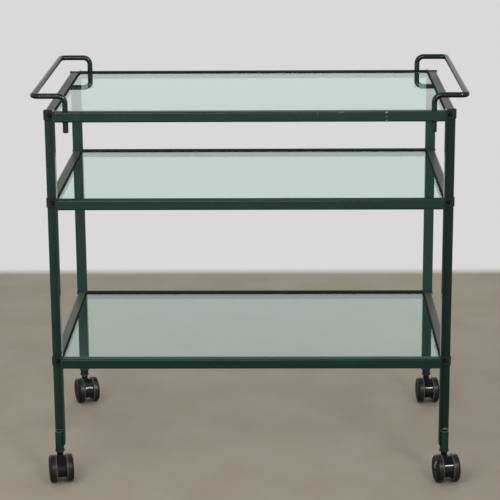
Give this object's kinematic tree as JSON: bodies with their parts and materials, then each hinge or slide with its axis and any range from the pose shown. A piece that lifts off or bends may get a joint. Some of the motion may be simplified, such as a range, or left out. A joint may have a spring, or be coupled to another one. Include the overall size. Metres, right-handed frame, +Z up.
{
  "type": "bar cart",
  "caption": "Serving trolley: angle-steel legs, square-tube shelf frames with inset glass, rod handles over the ends and twin-wheel swivel castors.",
  "frame": {"origin": "on the floor, in the middle of the rectangle that the whole trolley covers seen from above", "axes": "+X along the trolley's length towards its right end, +Y from front to back, +Z up"},
  "size_m": [0.789, 0.5038, 0.735],
  "materials": {
    "frame_green": "glossy dark green paint, a little worn",
    "handle_green": "glossy very dark green paint",
    "glass_tint": "clear, slightly green glass with polished edges",
    "black_plastic": "matte black plastic",
    "hood_plastic": "glossy black plastic",
    "wheel_plastic": "worn charcoal plastic with dusty treads",
    "steel": "zinc-plated steel, dulled",
    "dark_metal": "blackened steel",
    "pad_rubber": "thin black rubber"
  },
  "bodies": {
    "frame": {"leg_front_left": "frame_green", "socket_front_left": "frame_green", "leg_front_right": "frame_green", "socket_front_right": "frame_green", "leg_back_left": "frame_green", "socket_back_left": "frame_green", "leg_back_right": "frame_green", "socket_back_right": "frame_green", "rail_low_front": "frame_green", "rail_low_back": "frame_green", "rail_low_left": "frame_green", "rail_low_right": "frame_green", "ledges_low": "frame_green", "glass_low": "glass_tint", "corner_plates_low": "black_plastic", "rail_mid_front": "frame_green", "rail_mid_back": "frame_green", "rail_mid_left": "frame_green", "rail_mid_right": "frame_green", "ledges_mid": "frame_green", "glass_mid": "glass_tint", "corner_plates_mid": "black_plastic", "rail_top_front": "frame_green", "rail_top_back": "frame_green", "rail_top_left": "frame_green", "rail_top_right": "frame_green", "ledges_top": "frame_green", "glass_top": "glass_tint", "corner_plates_top": "black_plastic", "glass_pads": "pad_rubber", "joint_washers": "dark_metal", "joint_screws": "dark_metal", "rail_plugs": "black_plastic", "rail_buttons": "black_plastic", "castor_sleeves": "black_plastic", "handle_left": "handle_green", "handle_right": "handle_green", "handle_rings": "dark_metal"},
    "castor_front_left": {"stem_front_left": "steel", "hood_front_left": "hood_plastic", "axle_front_left": "steel"},
    "wheel_a_front_left": {"wheel_a_front_left": "wheel_plastic"},
    "wheel_b_front_left": {"wheel_b_front_left": "wheel_plastic"},
    "castor_front_right": {"stem_front_right": "steel", "hood_front_right": "hood_plastic", "axle_front_right": "steel"},
    "wheel_a_front_right": {"wheel_a_front_right": "wheel_plastic"},
    "wheel_b_front_right": {"wheel_b_front_right": "wheel_plastic"},
    "castor_back_left": {"stem_back_left": "steel", "hood_back_left": "hood_plastic", "axle_back_left": "steel"},
    "wheel_a_back_left": {"wheel_a_back_left": "wheel_plastic"},
    "wheel_b_back_left": {"wheel_b_back_left": "wheel_plastic"},
    "castor_back_right": {"stem_back_right": "steel", "hood_back_right": "hood_plastic", "axle_back_right": "steel"},
    "wheel_a_back_right": {"wheel_a_back_right": "wheel_plastic"},
    "wheel_b_back_right": {"wheel_b_back_right": "wheel_plastic"}
  },
  "joints": [
    {"name": "swivel_front_left", "type": "hinge", "parent": "frame", "child": "castor_front_left", "pos_m": [-0.3615, -0.20502, 0.06], "axis": [0, 0, 1], "continuous": true},
    {"name": "roll_a_front_left", "type": "hinge", "parent": "castor_front_left", "child": "wheel_a_front_left", "pos_m": [-0.35776, -0.22263, 0.026], "axis": [0.9781, 0.2079, 0], "continuous": true},
    {"name": "roll_b_front_left", "type": "hinge", "parent": "castor_front_left", "child": "wheel_b_front_left", "pos_m": [-0.35776, -0.22263, 0.026], "axis": [0.9781, 0.2079, 0], "continuous": true},
    {"name": "swivel_front_right", "type": "hinge", "parent": "frame", "child": "castor_front_right", "pos_m": [0.3615, -0.20502, 0.06], "axis": [0, 0, 1], "continuous": true},
    {"name": "roll_a_front_right", "type": "hinge", "parent": "castor_front_right", "child": "wheel_a_front_right", "pos_m": [0.36463, -0.22275, 0.026], "axis": [0.9848, 0.1736, 0], "continuous": true},
    {"name": "roll_b_front_right", "type": "hinge", "parent": "castor_front_right", "child": "wheel_b_front_right", "pos_m": [0.36463, -0.22275, 0.026], "axis": [0.9848, 0.1736, 0], "continuous": true},
    {"name": "swivel_back_left", "type": "hinge", "parent": "frame", "child": "castor_back_left", "pos_m": [-0.3615, 0.23798, 0.06], "axis": [0, 0, 1], "continuous": true},
    {"name": "roll_a_back_left", "type": "hinge", "parent": "castor_back_left", "child": "wheel_a_back_left", "pos_m": [-0.35534, 0.22106, 0.026], "axis": [0.9397, 0.342, 0], "continuous": true},
    {"name": "roll_b_back_left", "type": "hinge", "parent": "castor_back_left", "child": "wheel_b_back_left", "pos_m": [-0.35534, 0.22106, 0.026], "axis": [0.9397, 0.342, 0], "continuous": true},
    {"name": "swivel_back_right", "type": "hinge", "parent": "frame", "child": "castor_back_right", "pos_m": [0.3615, 0.23798, 0.06], "axis": [0, 0, 1], "continuous": true},
    {"name": "roll_a_back_right", "type": "hinge", "parent": "castor_back_right", "child": "wheel_a_back_right", "pos_m": [0.36307, 0.22004, 0.026], "axis": [0.9962, 0.0872, 0], "continuous": true},
    {"name": "roll_b_back_right", "type": "hinge", "parent": "castor_back_right", "child": "wheel_b_back_right", "pos_m": [0.36307, 0.22004, 0.026], "axis": [0.9962, 0.0872, 0], "continuous": true}
  ]
}
